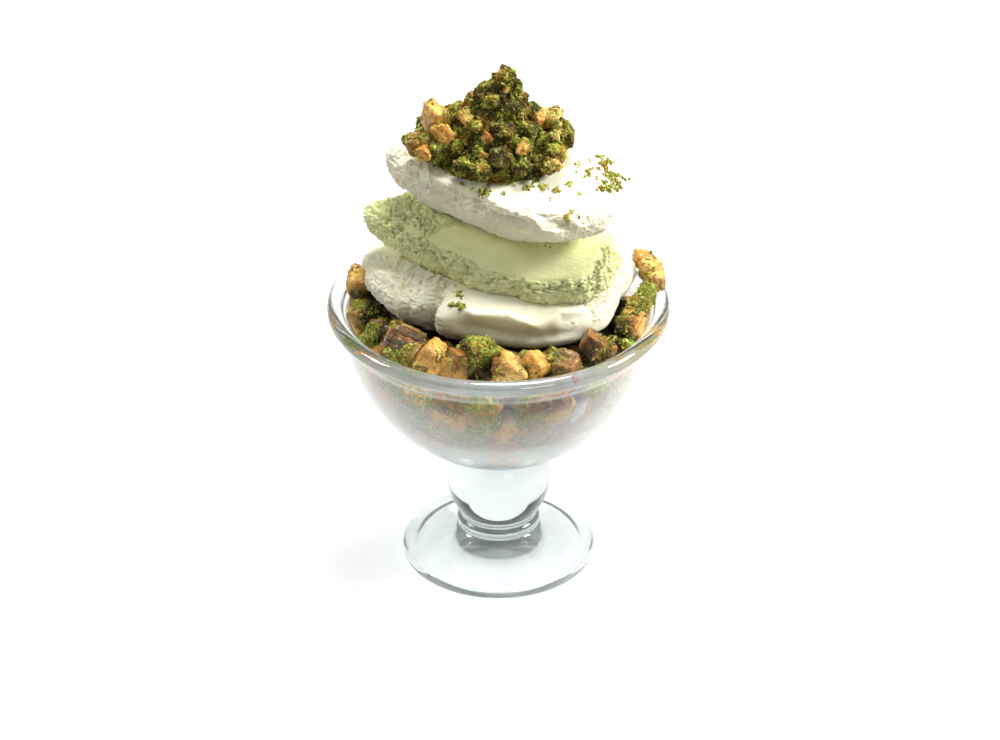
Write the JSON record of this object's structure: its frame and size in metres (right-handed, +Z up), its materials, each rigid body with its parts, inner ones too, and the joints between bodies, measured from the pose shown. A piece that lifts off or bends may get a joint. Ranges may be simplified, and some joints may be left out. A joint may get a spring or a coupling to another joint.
{
  "type": "baklava cup",
  "caption": "Footed glass bowl of chopped baklava under stacked slabs of plain and pistachio ice cream, topped with a heap of ground pistachio and baklava crumbs.",
  "frame": {"origin": "centre of the foot's underside, on the cup's turning axis", "axes": "+Z up along the cup's axis; the shown side faces -Y; the slabs are longest along X"},
  "size_m": [0.11, 0.11, 0.1728],
  "materials": {
    "clear_glass": "clear, smooth pressed glass with a faint cool tint",
    "plain_ice_cream": "dense plain ice cream, smooth where the spatula passed and torn at its edges; matte plastic stands in",
    "pistachio_ice_cream": "dense pistachio ice cream with ground nut in it; matte plastic stands in",
    "chopped_baklava": "golden flaky pastry with ground pistachio; matte plastic stands in",
    "ground_pistachio": "ground pistachio with baklava crumbs; matte plastic stands in"
  },
  "bodies": {
    "root": {"glass_cup": "clear_glass", "baklava_bed": "chopped_baklava", "plain_slab_lower": "plain_ice_cream", "pistachio_slab": "pistachio_ice_cream", "plain_slab_upper": "plain_ice_cream", "baklava_topping": "ground_pistachio"}
  },
  "joints": []
}
